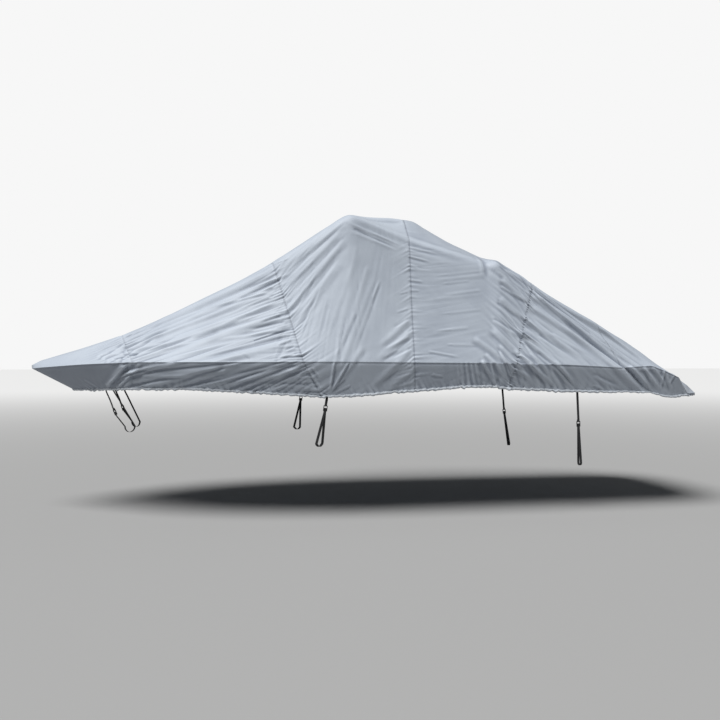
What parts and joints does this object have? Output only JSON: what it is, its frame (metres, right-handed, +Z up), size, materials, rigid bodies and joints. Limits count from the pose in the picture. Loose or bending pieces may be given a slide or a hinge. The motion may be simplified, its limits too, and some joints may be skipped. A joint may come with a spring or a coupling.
{
  "type": "fitted boat cover",
  "caption": "Hollow fitted cover for a boat with a raised tower: seamed cloth panels, a gathered skirt below the rub rail, and webbing tie-downs with buckles.",
  "frame": {"origin": "under the top of the cover, on the centre plane, where the boat's tower carries it", "axes": "+X aft along the boat, +Y to starboard, +Z up"},
  "size_m": [7.1169, 2.5231, 2.6034],
  "materials": {
    "cover_cloth": "light blue-grey woven polyester, matt with a faint sheen",
    "webbing": "black woven webbing, 25 mm wide",
    "buckle_plastic": "moulded black plastic"
  },
  "bodies": {
    "root": {"bow_panel": "cover_cloth", "fore_panel": "cover_cloth", "tower_panel": "cover_cloth", "mid_panel": "cover_cloth", "aft_panel": "cover_cloth", "stern_panel": "cover_cloth", "tab_bow_port": "webbing", "tab_bow_starboard": "webbing", "tab_mid_port": "webbing", "tab_mid_starboard": "webbing", "tab_aft_port": "webbing", "tab_aft_starboard": "webbing", "buckle_bow_port": "buckle_plastic", "buckle_bow_starboard": "buckle_plastic", "buckle_mid_port": "buckle_plastic", "buckle_mid_starboard": "buckle_plastic", "buckle_aft_port": "buckle_plastic", "buckle_aft_starboard": "buckle_plastic", "strap_bow_port": "webbing", "strap_bow_starboard": "webbing", "strap_mid_port": "webbing", "strap_mid_starboard": "webbing", "strap_aft_port": "webbing", "strap_aft_starboard": "webbing"}
  },
  "joints": []
}
